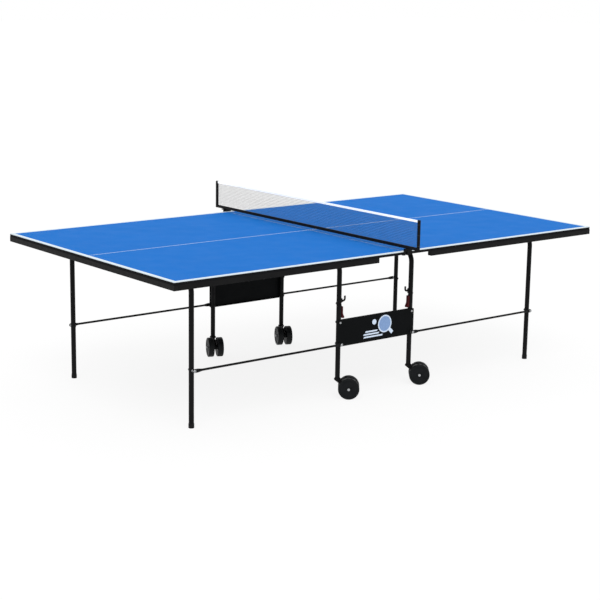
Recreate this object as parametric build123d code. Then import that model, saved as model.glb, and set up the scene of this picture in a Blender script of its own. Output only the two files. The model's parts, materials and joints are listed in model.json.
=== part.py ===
from build123d import *
import os
from math import cos, radians, sin

# A ping pong table on a wheeled base, in millimetres.  +X runs along the table,
# +Y across it and +Z up; the origin is on the floor, straight under the middle
# of the net.  "left" is -X, "right" is +X, "front" is -Y and "rear" is +Y.
# Each half of the top turns on a cross-bar of the wheeled base and carries a
# bent leg frame; tie rods make a parallelogram, so the legs stay upright.

os.makedirs("parts", exist_ok=True)

# Playing surface
TABLE_LENGTH = 2740
TABLE_WIDTH = 1525
TABLE_HEIGHT = 760
BOARD_THICKNESS = 16
BOARD_CORNER_RADIUS = 4
CENTRE_GAP = 3

# Square tube under the edges of each board
RAIL_SIZE = 25
RAIL_WALL = 1.5
RAIL_START_X = 175
STIFFENER_X = 690
RAIL_CAP_DEPTH = 2

# Bent round tube of the wheel frames and of the leg frames
TUBE_RADIUS = 12.5
TUBE_WALL = 1.5
BEND_RADIUS = 67.5
LEG_Y = 545
CROSS_BAR_Z = 712.5
BASE_X = 242
LEG_X = 1131
WHEEL_LEG_BOTTOM = 105
FOOT_RADIUS = 13.75
FOOT_HEIGHT = 22
FOOT_SOLE = 3

# Blocks that turn on the cross-bars
SADDLE_Y = 350
SADDLE_WIDTH = 40
SADDLE_WALL = 5
SADDLE_FLANGE = 70
SADDLE_FLANGE_THICKNESS = 4
RUNNING_FIT = 0.05

# Side panels between the wheel legs
PANEL_HALF_LENGTH = 256
PANEL_BOTTOM = 267
PANEL_TOP = 404
PANEL_THICKNESS = 2
PANEL_FLANGE = 14
PANEL_FLANGE_GAP = 2
PANEL_CORNER_RADIUS = 6
PANEL_BOLT_Z = 390
PANEL_BOLT_RADIUS = 3

# Tie rods and the bolts that they turn on
ROD_Z = 280
ROD_Y = 570
ROD_RADIUS = 5.5
ROD_EYE_RADIUS = 9
ROD_EYE_THICKNESS = 4
ROD_FLAT_LENGTH = 20
ROD_TAPER_LENGTH = 24
PIVOT_BOLT_RADIUS = 4
PIVOT_HEAD_RADIUS = 7.5
OPEN_PIVOT_CLEARANCE = 0.5
HOLE_CLEARANCE = 0.1
FACE_GAP = 0.3
NUT_THICKNESS = 5

# Fold latches: plates in slots of the wheel legs, as (inward, up) from the latch pivot
LATCH_Z = 485
LATCH_PLATE_THICKNESS = 4
LATCH_HEAD_RADIUS = 6
LATCH_HEAD_THICKNESS = 3
LATCH_SLOT_DEPTH = 13
LATCH_SLOT_DOWN = 22
LATCH_SLOT_UP = 33
HOOK_CENTRE = (27, 24)
HOOK_INNER_RADIUS = 6.5
HOOK_OUTER_RADIUS = 15.5
HOOK_TIP_UP = 37
HOOK_STEM_UP = 26
HOOK_BOSS_RADIUS = 9
LEVER_OUTLINE = ((0, -9), (13.5, -20), (13.5, -60), (18.5, -60), (18.5, -12), (9, 0))
GRIP_HALF_THICKNESS = 8
GRIP_OUTLINE = ((13.2, -14), (21, -14), (21.5, -50), (31, -70), (28, -75), (14.5, -73), (13.2, -60))
GRIP_CORNER_RADIUS = 2

# Catch pin under each board, which the hook holds when the half is up
FOLD_LIMIT = 85
CATCH_INWARD = 17.5
CATCH_ABOVE_LATCH = 41.5
CATCH_PIN_RADIUS = 4
CATCH_PIN_IN = 541
CATCH_CHEEK_IN = 559.5
CATCH_CHEEK_THICKNESS = 3
CATCH_FLANGE_IN = 549
CATCH_BOSS_RADIUS = 8
CATCH_LENGTH = 38
CATCH_HEEL = 9

# Twin-wheel casters
WHEEL_RADIUS = 54
WHEEL_WIDTH = 32
WHEEL_EDGE_RADIUS = 5
WHEEL_INNER_FACE = 10
WHEEL_RECESS_DEPTH = 2
WHEEL_RECESS_RADII = (14, 42)
TRAIL = 58
FRONT_TRAIL_ANGLE = -40
REAR_TRAIL_ANGLE = -114
FORK_CAP_RADIUS = 17
FORK_CAP_Z = (94, 101.7)
FORK_STEM_RADIUS = 5
FORK_STEM_TOP = 135
FORK_HUB_RADIUS = 14
FORK_HALF_WIDTH = 8.5
FORK_ARM_HALF_WIDTH = 8
FORK_ARM_HEEL = -15
AXLE_RADIUS = 4
AXLE_HEAD_RADIUS = 6.5
AXLE_HEAD_THICKNESS = 4
SOCKET_FLANGE = 3
SOCKET_DEPTH = 35

# Net frame
NET_POST_Y = 850
NET_POST_RADIUS = 8
NET_POST_TOP = 927
NET_POST_EDGE_RADIUS = 2
NET_BAR_WIDTH = 10
NET_BAR_HEIGHT = 15
NET_BAR_BOTTOM = 774
NET_TOP = 925
NET_TAPE_HEIGHT = 11
NET_TAPE_THICKNESS = 3
NET_MESH_THICKNESS = 1.5
NET_FOOT_HALF_WIDTH = 3.5
NET_FOOT_BOTTOM = 757
BRACKET_IN = 763
BRACKET_THICKNESS = 4
BRACKET_PLATE_START = 6
BRACKET_PAD_START = 4
BRACKET_PAD_OUT = 785
BRACKET_PAD_THICKNESS = 3
BRACKET_STRAP_IN = 720
BRACKET_REACH = {"left": 17, "right": 37}

# How far the parts of one solid run into each other where they only meet at an edge
OVERLAP = 1

# Worked out from the sizes above
BOARD_BOTTOM = TABLE_HEIGHT - BOARD_THICKNESS
HALF_LENGTH = TABLE_LENGTH / 2
HALF_WIDTH = TABLE_WIDTH / 2
RAIL_BOTTOM = BOARD_BOTTOM - RAIL_SIZE
RAIL_IN = HALF_WIDTH - RAIL_SIZE
LEG_OUT = LEG_Y + TUBE_RADIUS
PANEL_OUT = LEG_OUT + PANEL_THICKNESS
TUBE_BORE = TUBE_RADIUS - TUBE_WALL
WHEEL_OUTER_FACE = WHEEL_INNER_FACE + WHEEL_WIDTH
SIDES = {"left": -1, "right": 1}
ENDS = {"front": -1, "rear": 1}


def save(node, solids):
    """Writes one node's solids to its own file."""
    export_step(Compound(children=list(solids)), f"parts/{node}.step")


def block(x_limits, y_limits, z_limits):
    """A box between two limits along each axis, in either order."""
    limits = (x_limits, y_limits, z_limits)
    sizes = [abs(high - low) for low, high in limits]
    middle = [(low + high) / 2 for low, high in limits]
    return Pos(*middle) * Box(*sizes)


def y_disc(x, z, y_limits, radius):
    """A cylinder along Y at (x, z), between two values of y."""
    low, high = sorted(y_limits)
    return Pos(x, (low + high) / 2, z) * Rot(90, 0, 0) * Cylinder(radius, high - low)


def y_plate(outline, y_limits):
    """An outline of (x, z) drawn in the XZ plane, made solid between two values of y."""
    low, high = sorted(y_limits)
    face = Plane.XZ.offset(-low) * outline
    return extrude(face, high - low, dir=(0, 1, 0))


def each_corner():
    """The four wheel legs and outer legs, as names and signs."""
    for side, x_sign in SIDES.items():
        for end, y_sign in ENDS.items():
            yield side, end, x_sign, y_sign


# ---------------------------------------------------------------- halves of the top


def board(x_sign):
    inner = x_sign * CENTRE_GAP / 2
    outer = x_sign * HALF_LENGTH
    slab = block((inner, outer), (-HALF_WIDTH, HALF_WIDTH), (BOARD_BOTTOM, TABLE_HEIGHT))
    return fillet(slab.edges().filter_by(Axis.Z), BOARD_CORNER_RADIUS)


def square_tube(x_limits, y_limits, along):
    """Square tube under the board; along is the axis that stays open."""
    outside = block(x_limits, y_limits, (RAIL_BOTTOM, BOARD_BOTTOM))
    trim = RAIL_WALL
    x_low, x_high = sorted(x_limits)
    y_low, y_high = sorted(y_limits)
    if along == "x":
        bore = block((x_low, x_high), (y_low + trim, y_high - trim),
                     (RAIL_BOTTOM + trim, BOARD_BOTTOM - trim))
    else:
        bore = block((x_low + trim, x_high - trim), (y_low, y_high),
                     (RAIL_BOTTOM + trim, BOARD_BOTTOM - trim))
    return outside - bore


def side_rails(x_sign):
    x_limits = (x_sign * RAIL_START_X, x_sign * (HALF_LENGTH - RAIL_SIZE))
    for y_sign in ENDS.values():
        yield square_tube(x_limits, (y_sign * RAIL_IN, y_sign * HALF_WIDTH), "x")


def end_rail(x_sign):
    x_limits = (x_sign * (HALF_LENGTH - RAIL_SIZE), x_sign * HALF_LENGTH)
    return square_tube(x_limits, (-HALF_WIDTH, HALF_WIDTH), "y")


def stiffener(x_sign):
    x_limits = (x_sign * (STIFFENER_X - RAIL_SIZE / 2), x_sign * (STIFFENER_X + RAIL_SIZE / 2))
    return square_tube(x_limits, (-RAIL_IN, RAIL_IN), "y")


def rail_caps(x_sign):
    """Plastic plugs in the open inner ends of the side rails and in the end rail's ends."""
    plug_length = RAIL_SIZE / 2
    bore_z = (RAIL_BOTTOM + RAIL_WALL, BOARD_BOTTOM - RAIL_WALL)
    end_bore_x = (x_sign * (HALF_LENGTH - RAIL_SIZE + RAIL_WALL), x_sign * (HALF_LENGTH - RAIL_WALL))
    for y_sign in ENDS.values():
        head = block((x_sign * (RAIL_START_X - RAIL_CAP_DEPTH), x_sign * RAIL_START_X),
                     (y_sign * RAIL_IN, y_sign * HALF_WIDTH), (RAIL_BOTTOM, BOARD_BOTTOM))
        tail = block((x_sign * RAIL_START_X, x_sign * (RAIL_START_X + plug_length)),
                     (y_sign * (RAIL_IN + RAIL_WALL), y_sign * (HALF_WIDTH - RAIL_WALL)), bore_z)
        yield head + tail
        yield block(end_bore_x, (y_sign * (HALF_WIDTH - plug_length), y_sign * HALF_WIDTH), bore_z)


def saddle(x, y):
    """Block screwed under the board, with a bore that turns on a cross-bar."""
    radius = TUBE_RADIUS + SADDLE_WALL
    y_limits = (y - SADDLE_WIDTH / 2, y + SADDLE_WIDTH / 2)
    body = block((x - radius, x + radius), y_limits, (CROSS_BAR_Z, BOARD_BOTTOM))
    body += y_disc(x, CROSS_BAR_Z, y_limits, radius)
    body += block((x - SADDLE_FLANGE / 2, x + SADDLE_FLANGE / 2), y_limits,
                  (BOARD_BOTTOM - SADDLE_FLANGE_THICKNESS, BOARD_BOTTOM))
    return body - y_disc(x, CROSS_BAR_Z, y_limits, TUBE_RADIUS + RUNNING_FIT)


def saddles(x_sign):
    for x in (BASE_X, LEG_X):
        for y_sign in ENDS.values():
            yield saddle(x_sign * x, y_sign * SADDLE_Y)


def catch_place():
    """Where the catch pin lies on the flat half, as a distance from the net line and a height."""
    angle = radians(FOLD_LIMIT)
    down = CROSS_BAR_Z - LATCH_Z - CATCH_ABOVE_LATCH
    from_pivot = CATCH_INWARD * cos(angle) + down * sin(angle)
    above_pivot = CATCH_INWARD * sin(angle) - down * cos(angle)
    return BASE_X - from_pivot, CROSS_BAR_Z + above_pivot


def catch(x_sign, y_sign):
    """Bracket under the board and the pin that the latch hook holds."""
    pin_x, pin_z = catch_place()
    start = pin_x - CATCH_BOSS_RADIUS
    outline = Polygon(
        (x_sign * start, BOARD_BOTTOM),
        (x_sign * start, pin_z),
        (x_sign * (pin_x + CATCH_BOSS_RADIUS), pin_z),
        (x_sign * (start + CATCH_LENGTH), BOARD_BOTTOM - CATCH_HEEL),
        (x_sign * (start + CATCH_LENGTH), BOARD_BOTTOM),
        align=None,
    )
    cheek_out = CATCH_CHEEK_IN + CATCH_CHEEK_THICKNESS
    cheek_limits = (y_sign * CATCH_CHEEK_IN, y_sign * cheek_out)
    bracket = y_plate(outline, cheek_limits)
    bracket += y_disc(x_sign * pin_x, pin_z, cheek_limits, CATCH_BOSS_RADIUS)
    bracket += block((x_sign * start, x_sign * (start + CATCH_LENGTH)),
                     (y_sign * CATCH_FLANGE_IN, y_sign * cheek_out),
                     (BOARD_BOTTOM - CATCH_CHEEK_THICKNESS, BOARD_BOTTOM))
    bracket -= y_disc(x_sign * pin_x, pin_z, cheek_limits, CATCH_PIN_RADIUS)
    pin_limits = (y_sign * CATCH_PIN_IN, y_sign * cheek_out)
    pin = y_disc(x_sign * pin_x, pin_z, pin_limits, CATCH_PIN_RADIUS)
    return bracket, pin


def catches(x_sign):
    for y_sign in ENDS.values():
        yield from catch(x_sign, y_sign)


def net_bracket(side, x_sign, y_sign):
    """Strap under the board, plate up its edge and pad that the net bar rests on."""
    reach = x_sign * BRACKET_REACH[side]
    plate_out = BRACKET_IN + BRACKET_THICKNESS
    strap_bottom = BOARD_BOTTOM - BRACKET_THICKNESS
    plate = block((x_sign * BRACKET_PLATE_START, reach),
                  (y_sign * BRACKET_IN, y_sign * plate_out), (strap_bottom, NET_BAR_BOTTOM))
    strap = block((x_sign * BRACKET_PLATE_START, reach),
                  (y_sign * BRACKET_STRAP_IN, y_sign * plate_out), (strap_bottom, BOARD_BOTTOM))
    pad = block((x_sign * BRACKET_PAD_START, reach),
                (y_sign * plate_out, y_sign * BRACKET_PAD_OUT),
                (NET_BAR_BOTTOM - BRACKET_PAD_THICKNESS, NET_BAR_BOTTOM))
    return plate + strap + pad


# ---------------------------------------------------------------- bent tube frames


def bent_frame(x, bottom):
    """Round tube bent into two legs and a cross-bar, in the plane at x."""
    path = FilletPolyline(
        (x, -LEG_Y, bottom),
        (x, -LEG_Y, CROSS_BAR_Z),
        (x, LEG_Y, CROSS_BAR_Z),
        (x, LEG_Y, bottom),
        radius=BEND_RADIUS,
    )
    ring = Pos(x, -LEG_Y, bottom) * (Circle(TUBE_RADIUS) - Circle(TUBE_BORE))
    return sweep(ring, path)


def cross_hole(x, z, radius):
    """Drill through both legs of a frame, along Y."""
    return y_disc(x, z, (-LEG_OUT - OVERLAP, LEG_OUT + OVERLAP), radius + HOLE_CLEARANCE)


def latch_slot(x_sign, y_sign):
    """Cut through the inward wall of a wheel leg, in which a latch plate turns."""
    half_width = LATCH_PLATE_THICKNESS / 2 + FACE_GAP
    middle = y_sign * LEG_Y
    return block((x_sign * (BASE_X - LATCH_SLOT_DEPTH), x_sign * BASE_X),
                 (middle - half_width, middle + half_width),
                 (LATCH_Z - LATCH_SLOT_DOWN, LATCH_Z + LATCH_SLOT_UP))


def wheel_frame(x_sign):
    x = x_sign * BASE_X
    frame = bent_frame(x, WHEEL_LEG_BOTTOM)
    for y_sign in ENDS.values():
        frame -= latch_slot(x_sign, y_sign)
    frame -= cross_hole(x, ROD_Z, PIVOT_BOLT_RADIUS)
    frame -= cross_hole(x, LATCH_Z, PIVOT_BOLT_RADIUS)
    return frame - cross_hole(x, PANEL_BOLT_Z, PANEL_BOLT_RADIUS)


def leg_frame(x_sign):
    x = x_sign * LEG_X
    return bent_frame(x, FOOT_SOLE) - cross_hole(x, ROD_Z, PIVOT_BOLT_RADIUS)


def feet(x_sign):
    """Plastic caps over the bottoms of the outer legs."""
    for y_sign in ENDS.values():
        cap = Pos(x_sign * LEG_X, y_sign * LEG_Y, FOOT_HEIGHT / 2)
        cap *= Cylinder(FOOT_RADIUS, FOOT_HEIGHT)
        well = Pos(x_sign * LEG_X, y_sign * LEG_Y, FOOT_SOLE + FOOT_HEIGHT / 2)
        yield cap - well * Cylinder(TUBE_RADIUS, FOOT_HEIGHT)


def side_panel(y_sign):
    """Steel plate across the wheel legs, with its long edges folded inwards."""
    height = PANEL_TOP - PANEL_BOTTOM
    outline = Pos(0, (PANEL_TOP + PANEL_BOTTOM) / 2)
    outline *= RectangleRounded(2 * PANEL_HALF_LENGTH, height, PANEL_CORNER_RADIUS)
    panel = y_plate(outline, (y_sign * LEG_OUT, y_sign * PANEL_OUT))
    flange_x = BASE_X - TUBE_RADIUS - PANEL_FLANGE_GAP
    for edge, inner in ((PANEL_TOP, PANEL_TOP - PANEL_THICKNESS),
                        (PANEL_BOTTOM, PANEL_BOTTOM + PANEL_THICKNESS)):
        panel += block((-flange_x, flange_x), (y_sign * (PANEL_OUT - PANEL_FLANGE),
                                               y_sign * PANEL_OUT), (edge, inner))
    for x_sign in SIDES.values():
        for z, radius in ((ROD_Z, PIVOT_BOLT_RADIUS), (PANEL_BOLT_Z, PANEL_BOLT_RADIUS)):
            panel -= y_disc(x_sign * BASE_X, z, (y_sign * LEG_Y, y_sign * PANEL_OUT),
                            radius + HOLE_CLEARANCE)
    return panel


# ---------------------------------------------------------------- bolts and tie rods


def stepped_bolt(x, z, y_sign, steps):
    """A bolt along Y made of (start, end, radius) steps, with a nut inside the leg."""
    nut_start = LEG_Y - TUBE_RADIUS - NUT_THICKNESS
    bolt = y_disc(x, z, (y_sign * nut_start, y_sign * (nut_start + NUT_THICKNESS)), PIVOT_HEAD_RADIUS)
    for start, end, radius in steps:
        bolt += y_disc(x, z, (y_sign * start, y_sign * end), radius)
    return bolt


def rod_bolt(x, y_sign, spacer_start):
    """Bolt with a spacer and a head, either side of a tie rod's eye."""
    eye_in = ROD_Y - ROD_EYE_THICKNESS / 2 - FACE_GAP
    eye_out = ROD_Y + ROD_EYE_THICKNESS / 2 + FACE_GAP
    steps = (
        (LEG_Y - TUBE_RADIUS, eye_out, PIVOT_BOLT_RADIUS),
        (spacer_start, eye_in, PIVOT_HEAD_RADIUS),
        (eye_out, eye_out + NUT_THICKNESS, PIVOT_HEAD_RADIUS),
    )
    return stepped_bolt(x, ROD_Z, y_sign, steps)


def latch_bolt(x, y_sign):
    """Bolt through a wheel leg, on which the latch plate turns inside the tube."""
    steps = (
        (LEG_Y - TUBE_RADIUS, LEG_OUT, PIVOT_BOLT_RADIUS),
        (LEG_OUT, LEG_OUT + LATCH_HEAD_THICKNESS, LATCH_HEAD_RADIUS),
    )
    return stepped_bolt(x, LATCH_Z, y_sign, steps)


def panel_bolt(x, y_sign):
    steps = (
        (LEG_Y - TUBE_RADIUS, PANEL_OUT, PANEL_BOLT_RADIUS),
        (PANEL_OUT, PANEL_OUT + PANEL_BOLT_RADIUS, 2 * PANEL_BOLT_RADIUS),
    )
    return stepped_bolt(x, PANEL_BOLT_Z, y_sign, steps)


def tie_rod(x_sign, y_sign):
    """Round rod whose ends are pressed flat and drilled."""
    y = y_sign * ROD_Y
    half = ROD_EYE_THICKNESS / 2
    flat_faces = (y - half, y + half)
    ends = (BASE_X, 1, RUNNING_FIT), (LEG_X, -1, OPEN_PIVOT_CLEARANCE)
    round_start = ROD_FLAT_LENGTH + ROD_TAPER_LENGTH
    middle = x_sign * (BASE_X + LEG_X) / 2
    rod = Pos(middle, y, ROD_Z) * Rot(0, 90, 0)
    rod *= Cylinder(ROD_RADIUS, LEG_X - BASE_X - 2 * round_start)
    for eye_x, inward, clearance in ends:
        x = x_sign * eye_x
        toward = x_sign * inward
        rod += y_disc(x, ROD_Z, flat_faces, ROD_EYE_RADIUS)
        rod += block((x, x + toward * ROD_FLAT_LENGTH), flat_faces,
                     (ROD_Z - ROD_EYE_RADIUS, ROD_Z + ROD_EYE_RADIUS))
        flat_end = Plane((x + toward * ROD_FLAT_LENGTH, y, ROD_Z), x_dir=(0, 1, 0),
                         z_dir=(toward, 0, 0))
        round_end = flat_end.offset(ROD_TAPER_LENGTH)
        flat_section = flat_end * Rectangle(ROD_EYE_THICKNESS, 2 * ROD_EYE_RADIUS)
        rod += loft([flat_section, round_end * Circle(ROD_RADIUS)])
        rod -= y_disc(x, ROD_Z, flat_faces, PIVOT_BOLT_RADIUS + clearance)
    return rod


# ---------------------------------------------------------------- fold latches


def hook_outlines():
    """The pieces of the hook plate's outline, about the latch pivot, which overlap a little."""
    centre_x, centre_z = HOOK_CENTRE
    arm_width = HOOK_OUTER_RADIUS - HOOK_INNER_RADIUS
    middle = HOOK_INNER_RADIUS + arm_width / 2
    throat_left = centre_x - HOOK_INNER_RADIUS
    ring = Pos(centre_x, centre_z) * (Circle(HOOK_OUTER_RADIUS) - Circle(HOOK_INNER_RADIUS))
    yield ring - Pos(centre_x, centre_z + HOOK_OUTER_RADIUS) * Rectangle(
        2 * HOOK_OUTER_RADIUS, 2 * HOOK_OUTER_RADIUS)
    for middle_x, top in ((centre_x + middle, HOOK_TIP_UP), (centre_x - middle, HOOK_STEM_UP)):
        bottom = centre_z - OVERLAP
        yield Pos(middle_x, (bottom + top) / 2) * Rectangle(arm_width, top - bottom)
    yield Circle(HOOK_BOSS_RADIUS)
    yield Polygon((HOOK_BOSS_RADIUS, 0), (centre_x, centre_z - HOOK_OUTER_RADIUS + OVERLAP),
                  (throat_left, centre_z), (throat_left, HOOK_STEM_UP), (0, HOOK_BOSS_RADIUS),
                  align=None)
    yield Polygon(*LEVER_OUTLINE, align=None)


def grip_outline(x_sign):
    """The plastic grip on the lever, beside the leg and flared inwards at its lower end."""
    shape = Polygon(*GRIP_OUTLINE, align=None)
    shape = fillet(shape.vertices(), GRIP_CORNER_RADIUS)
    return shape if x_sign < 0 else mirror(shape, Plane.YZ)


def latch(x_sign, y_sign):
    """The hook plate and its grip, in the middle plane of a wheel leg."""
    place = Pos(x_sign * BASE_X, LATCH_Z)
    middle = y_sign * LEG_Y
    half_plate = LATCH_PLATE_THICKNESS / 2
    plate_limits = (middle - half_plate, middle + half_plate)
    grip_limits = (middle - GRIP_HALF_THICKNESS, middle + GRIP_HALF_THICKNESS)
    hook = Part()
    for outline in hook_outlines():
        facing = outline if x_sign < 0 else mirror(outline, Plane.YZ)
        hook += y_plate(place * facing, plate_limits)
    hook -= y_disc(x_sign * BASE_X, LATCH_Z, plate_limits, PIVOT_BOLT_RADIUS + RUNNING_FIT)
    grip = y_plate(place * grip_outline(x_sign), grip_limits)
    return hook, grip - hook


# ---------------------------------------------------------------- casters


def fork():
    """Caster fork about its swivel axis, trailing along +X, with the axle along Y."""
    cap_bottom, cap_top = FORK_CAP_Z
    body = Pos(0, 0, (cap_bottom + cap_top) / 2) * Cylinder(FORK_CAP_RADIUS, cap_top - cap_bottom)
    body += Pos(0, 0, (cap_bottom + FORK_STEM_TOP) / 2) * Cylinder(
        FORK_STEM_RADIUS, FORK_STEM_TOP - cap_bottom)
    tangent = FORK_HUB_RADIUS * sin(radians(45))
    arm = Polygon((FORK_ARM_HEEL, cap_bottom), (-FORK_ARM_HEEL, cap_bottom + OVERLAP),
                  (TRAIL + tangent, WHEEL_RADIUS + tangent),
                  (TRAIL - tangent, WHEEL_RADIUS - tangent), align=None)
    body += y_plate(arm, (-FORK_ARM_HALF_WIDTH, FORK_ARM_HALF_WIDTH))
    hub_limits = (-FORK_HALF_WIDTH, FORK_HALF_WIDTH)
    body += y_disc(TRAIL, WHEEL_RADIUS, hub_limits, FORK_HUB_RADIUS)
    return body - y_disc(TRAIL, WHEEL_RADIUS, hub_limits, AXLE_RADIUS + RUNNING_FIT)


def axle():
    """Axle bolt with a head outside each wheel."""
    head_start = WHEEL_OUTER_FACE + FACE_GAP
    head_end = head_start + AXLE_HEAD_THICKNESS
    bolt = y_disc(TRAIL, WHEEL_RADIUS, (-head_start, head_start), AXLE_RADIUS)
    for y_sign in ENDS.values():
        bolt += y_disc(TRAIL, WHEEL_RADIUS, (y_sign * head_start, y_sign * head_end),
                       AXLE_HEAD_RADIUS)
    return bolt


def wheel(y_sign):
    """One wheel of a pair, with rounded edges and a shallow ring in its outer face."""
    limits = (y_sign * WHEEL_INNER_FACE, y_sign * WHEEL_OUTER_FACE)
    body = y_disc(TRAIL, WHEEL_RADIUS, limits, WHEEL_RADIUS)
    body = fillet(body.edges().filter_by(GeomType.CIRCLE), WHEEL_EDGE_RADIUS)
    inner_ring, outer_ring = WHEEL_RECESS_RADII
    ring_limits = (y_sign * (WHEEL_OUTER_FACE - WHEEL_RECESS_DEPTH), y_sign * WHEEL_OUTER_FACE)
    ring = y_disc(TRAIL, WHEEL_RADIUS, ring_limits, outer_ring)
    ring -= y_disc(TRAIL, WHEEL_RADIUS, ring_limits, inner_ring)
    return body - ring - y_disc(TRAIL, WHEEL_RADIUS, limits, AXLE_RADIUS + RUNNING_FIT)


def socket(x, y):
    """Plastic plug in the bottom of a wheel leg, bored for the fork's stem."""
    top = WHEEL_LEG_BOTTOM + SOCKET_DEPTH
    flange_bottom = WHEEL_LEG_BOTTOM - SOCKET_FLANGE
    plug = Pos(x, y, WHEEL_LEG_BOTTOM + SOCKET_DEPTH / 2) * Cylinder(TUBE_BORE, SOCKET_DEPTH)
    plug += Pos(x, y, WHEEL_LEG_BOTTOM - SOCKET_FLANGE / 2) * Cylinder(TUBE_RADIUS, SOCKET_FLANGE)
    bore = Cylinder(FORK_STEM_RADIUS + RUNNING_FIT, top - flange_bottom)
    return plug - Pos(x, y, (top + flange_bottom) / 2) * bore


# ---------------------------------------------------------------- net frame


def net_bar():
    """Rectangular tube that carries the net just above the boards, capped by its posts."""
    inner = NET_POST_Y - NET_POST_RADIUS
    z_limits = (NET_BAR_BOTTOM, NET_BAR_BOTTOM + NET_BAR_HEIGHT)
    outside = block((-NET_BAR_WIDTH / 2, NET_BAR_WIDTH / 2), (-inner, inner), z_limits)
    bore_half = NET_BAR_WIDTH / 2 - RAIL_WALL
    bore = block((-bore_half, bore_half), (-inner, inner),
                 (z_limits[0] + RAIL_WALL, z_limits[1] - RAIL_WALL))
    return outside - bore


def net_posts():
    for y_sign in ENDS.values():
        height = NET_POST_TOP - NET_BAR_BOTTOM
        post = Pos(0, y_sign * NET_POST_Y, NET_BAR_BOTTOM + height / 2)
        post *= Cylinder(NET_POST_RADIUS, height)
        yield fillet(post.edges().filter_by(GeomType.CIRCLE), NET_POST_EDGE_RADIUS)


def net_feet():
    """Tongues under the bar, which drop between the brackets of the two halves."""
    for y_sign in ENDS.values():
        yield block((-NET_FOOT_HALF_WIDTH, NET_FOOT_HALF_WIDTH),
                    (y_sign * BRACKET_IN, y_sign * (BRACKET_IN + BRACKET_THICKNESS)),
                    (NET_FOOT_BOTTOM, NET_BAR_BOTTOM))


def net_panel(thickness, bottom, top):
    """A plain thin sheet between the posts, for the mesh and for the tape."""
    inner = NET_POST_Y - NET_POST_RADIUS
    return block((-thickness / 2, thickness / 2), (-inner, inner), (bottom, top))


# ---------------------------------------------------------------- writing the nodes

for side, x_sign in SIDES.items():
    save(f"tabletop_{side}", [board(x_sign)])
    save(f"side_rails_{side}", side_rails(x_sign))
    save(f"end_rail_{side}", [end_rail(x_sign)])
    save(f"cross_stiffener_{side}", [stiffener(x_sign)])
    save(f"rail_caps_{side}", rail_caps(x_sign))
    save(f"pivot_saddles_{side}", saddles(x_sign))
    save(f"catch_pins_{side}", catches(x_sign))
    save(f"net_brackets_{side}", [net_bracket(side, x_sign, y_sign) for y_sign in ENDS.values()])
    save(f"wheel_frame_{side}", [wheel_frame(x_sign)])
    save(f"leg_frame_{side}", [leg_frame(x_sign)])
    save(f"leg_feet_{side}", feet(x_sign))
    save(f"tie_rods_{side}", [tie_rod(x_sign, y_sign) for y_sign in ENDS.values()])
    save(f"leg_bolts_{side}", [rod_bolt(x_sign * LEG_X, y_sign, LEG_OUT)
                               for y_sign in ENDS.values()])

for end, y_sign in ENDS.items():
    save(f"side_panel_{end}", [side_panel(y_sign)])

corners = list(each_corner())
rod_bolts = [rod_bolt(x_sign * BASE_X, y_sign, PANEL_OUT) for _, _, x_sign, y_sign in corners]
latch_bolts = [latch_bolt(x_sign * BASE_X, y_sign) for _, _, x_sign, y_sign in corners]
save("pivot_bolts", rod_bolts + latch_bolts)
save("panel_bolts", [panel_bolt(x_sign * BASE_X, y_sign) for _, _, x_sign, y_sign in corners])
save("caster_sockets", [socket(x_sign * BASE_X, y_sign * LEG_Y) for _, _, x_sign, y_sign in corners])

trail_angles = {"front": FRONT_TRAIL_ANGLE, "rear": REAR_TRAIL_ANGLE}
for side, end, x_sign, y_sign in corners:
    corner = f"{side}_{end}"
    hook, grip = latch(x_sign, y_sign)
    save(f"latch_hook_{corner}", [hook])
    save(f"latch_grip_{corner}", [grip])
    swivel = Pos(x_sign * BASE_X, y_sign * LEG_Y, 0) * Rot(0, 0, trail_angles[end])
    save(f"caster_fork_{corner}", [swivel * fork()])
    save(f"caster_axle_{corner}", [swivel * axle()])
    save(f"wheel_{corner}_a", [swivel * wheel(-1)])
    save(f"wheel_{corner}_b", [swivel * wheel(1)])

mesh_top = NET_TOP - NET_TAPE_HEIGHT
save("net_bar", [net_bar()])
save("net_posts", net_posts())
save("net_feet", net_feet())
save("net_mesh", [net_panel(NET_MESH_THICKNESS, NET_BAR_BOTTOM + NET_BAR_HEIGHT, mesh_top)])
save("net_tape", [net_panel(NET_TAPE_THICKNESS, mesh_top, NET_TOP)])
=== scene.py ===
"""Looks of a folding ping pong table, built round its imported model.

Metres.  +X runs along the table, +Y towards the rear and +Z up; the origin is on the
floor under the middle of the net.  "left" is -X, "right" +X, "front" -Y and "rear" +Y.
"""

import json
from math import ceil, cos, pi, radians, sin

import bmesh
import bpy
from mathutils import Matrix, Vector, noise


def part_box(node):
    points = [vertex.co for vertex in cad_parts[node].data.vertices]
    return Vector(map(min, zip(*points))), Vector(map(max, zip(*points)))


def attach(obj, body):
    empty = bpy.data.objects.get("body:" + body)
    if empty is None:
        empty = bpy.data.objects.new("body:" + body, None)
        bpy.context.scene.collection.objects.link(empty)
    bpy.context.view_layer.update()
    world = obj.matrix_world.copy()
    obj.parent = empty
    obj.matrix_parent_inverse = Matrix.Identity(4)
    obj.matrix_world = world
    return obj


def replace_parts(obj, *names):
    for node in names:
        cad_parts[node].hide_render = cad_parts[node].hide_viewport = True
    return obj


MM = 0.001
MERGE_DISTANCE = 0.001 * MM
SIDES = {"left": -1, "right": 1}
ENDS = {"front": -1, "rear": 1}
CORNERS = [(side, end) for side in SIDES for end in ENDS]

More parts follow.
